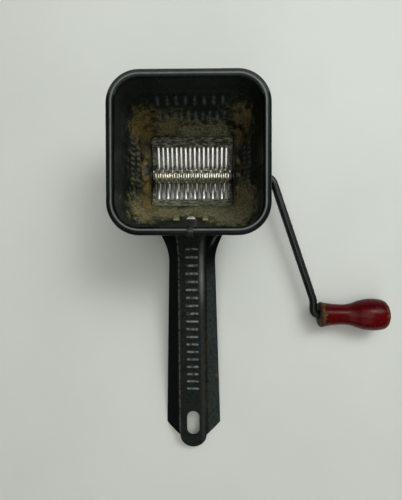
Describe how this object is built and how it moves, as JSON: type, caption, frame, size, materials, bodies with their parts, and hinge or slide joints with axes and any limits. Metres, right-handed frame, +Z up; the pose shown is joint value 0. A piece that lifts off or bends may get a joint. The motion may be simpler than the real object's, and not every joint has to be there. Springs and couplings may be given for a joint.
{
  "type": "herb mill",
  "caption": "Hand-cranked herb mill: a square funnel hopper on a channel handle, with a bent-rod crank that turns toothed discs through a slotted grate.",
  "frame": {"origin": "middle of the spout's lower edge, on the surface that the mill stands on", "axes": "+Z up out of the hopper's mouth, +X along the shaft to the crank, -Y along the handle"},
  "size_m": [0.1289, 0.1707, 0.0531],
  "materials": {
    "black_paint": "worn satin black paint on pressed sheet",
    "rod_paint": "worn satin black paint on a steel rod",
    "tinned_steel": "dull tinned sheet, stained",
    "cutter_steel": "worn bare steel, stained",
    "dull_steel": "dull darkened steel",
    "red_lacquer": "worn dark red lacquer on turned wood"
  },
  "bodies": {
    "root": {"hopper": "black_paint", "slotted_grate": "tinned_steel", "handle": "black_paint", "rim_strap": "tinned_steel", "bearing_eyelet_left": "dull_steel", "bearing_eyelet_right": "dull_steel"},
    "rotor": {"crank_rod": "rod_paint", "shaft_end_cap": "dull_steel", "cutter_disc_01": "cutter_steel", "cutter_disc_02": "cutter_steel", "cutter_disc_03": "cutter_steel", "cutter_disc_04": "cutter_steel", "cutter_disc_05": "cutter_steel", "cutter_disc_06": "cutter_steel", "cutter_disc_07": "cutter_steel", "cutter_disc_08": "cutter_steel", "cutter_disc_09": "cutter_steel", "cutter_disc_10": "cutter_steel", "cutter_disc_11": "cutter_steel", "cutter_disc_12": "cutter_steel", "cutter_disc_13": "cutter_steel", "cutter_disc_14": "cutter_steel", "cutter_disc_15": "cutter_steel", "cutter_disc_16": "cutter_steel", "cutter_disc_17": "cutter_steel", "spacer_01": "dull_steel", "spacer_02": "dull_steel", "spacer_03": "dull_steel", "spacer_04": "dull_steel", "spacer_05": "dull_steel", "spacer_06": "dull_steel", "spacer_07": "dull_steel", "spacer_08": "dull_steel", "spacer_09": "dull_steel", "spacer_10": "dull_steel", "spacer_11": "dull_steel", "spacer_12": "dull_steel", "spacer_13": "dull_steel", "spacer_14": "dull_steel", "spacer_15": "dull_steel", "spacer_16": "dull_steel", "rotor_washer_left": "dull_steel", "rotor_washer_right": "dull_steel", "knob_washer": "dull_steel"},
    "grip": {"knob": "red_lacquer"}
  },
  "joints": [
    {"name": "crank_spin", "type": "hinge", "parent": "root", "child": "rotor", "pos_m": [0, -0.0019, 0.01], "axis": [1, 0, 0], "continuous": true},
    {"name": "knob_spin", "type": "hinge", "parent": "rotor", "child": "grip", "pos_m": [0.0797, -0.07037, 0.0081], "axis": [1, 0, 0], "continuous": true}
  ]
}
